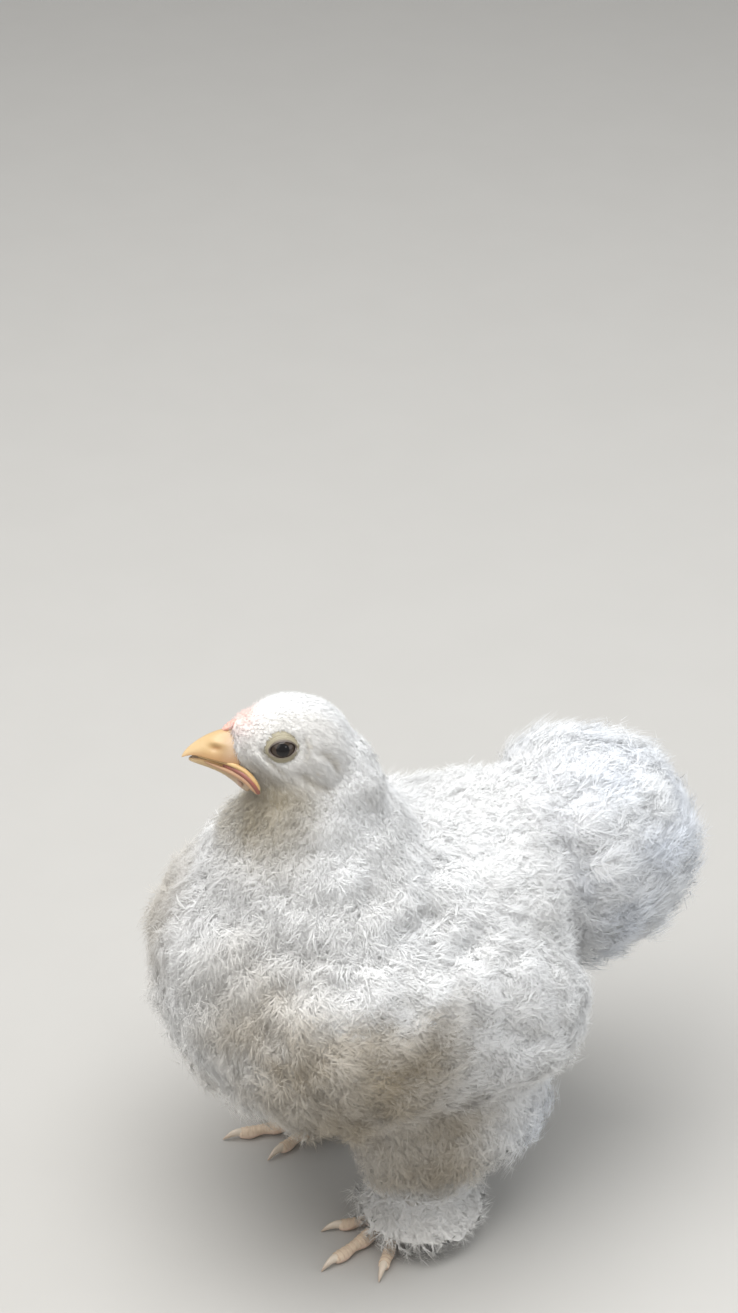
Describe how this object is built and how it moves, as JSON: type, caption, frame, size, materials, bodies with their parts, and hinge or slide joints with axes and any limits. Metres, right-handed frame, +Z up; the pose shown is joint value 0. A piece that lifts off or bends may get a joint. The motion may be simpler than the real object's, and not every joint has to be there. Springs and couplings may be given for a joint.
{
  "type": "cochin bantam chick model",
  "caption": "Life-size still model of a young white bantam hen chick that stands on two feet, with its head turned and tilted.",
  "frame": {"origin": "on the floor, below the middle of the whole bird's box", "axes": "+X to the bird's left, -Y the way its body faces, +Z up"},
  "size_m": [0.1214, 0.1756, 0.176],
  "materials": {
    "plumage": "soft white feathers",
    "horn": "satin yellow horn",
    "claw": "satin pale horn",
    "scale_skin": "matt yellow scales",
    "comb_skin": "matt pink skin",
    "ear_skin": "matt pale skin",
    "eye": "glossy dark brown"
  },
  "bodies": {
    "root": {"torso": "plumage", "neck": "plumage", "head": "plumage", "tail": "plumage", "wing_left": "plumage", "wing_right": "plumage", "thigh_left": "plumage", "thigh_right": "plumage", "shank_left": "scale_skin", "shank_right": "scale_skin", "foot_left": "scale_skin", "foot_right": "scale_skin", "claw_left_inner": "claw", "claw_left_middle": "claw", "claw_left_outer": "claw", "claw_left_hind": "claw", "claw_right_inner": "claw", "claw_right_middle": "claw", "claw_right_outer": "claw", "claw_right_hind": "claw", "upper_bill": "horn", "lower_bill": "horn", "comb": "comb_skin", "wattle_left": "comb_skin", "wattle_right": "comb_skin", "ear_left": "ear_skin", "ear_right": "ear_skin", "eye_left": "eye", "eye_right": "eye"}
  },
  "joints": []
}
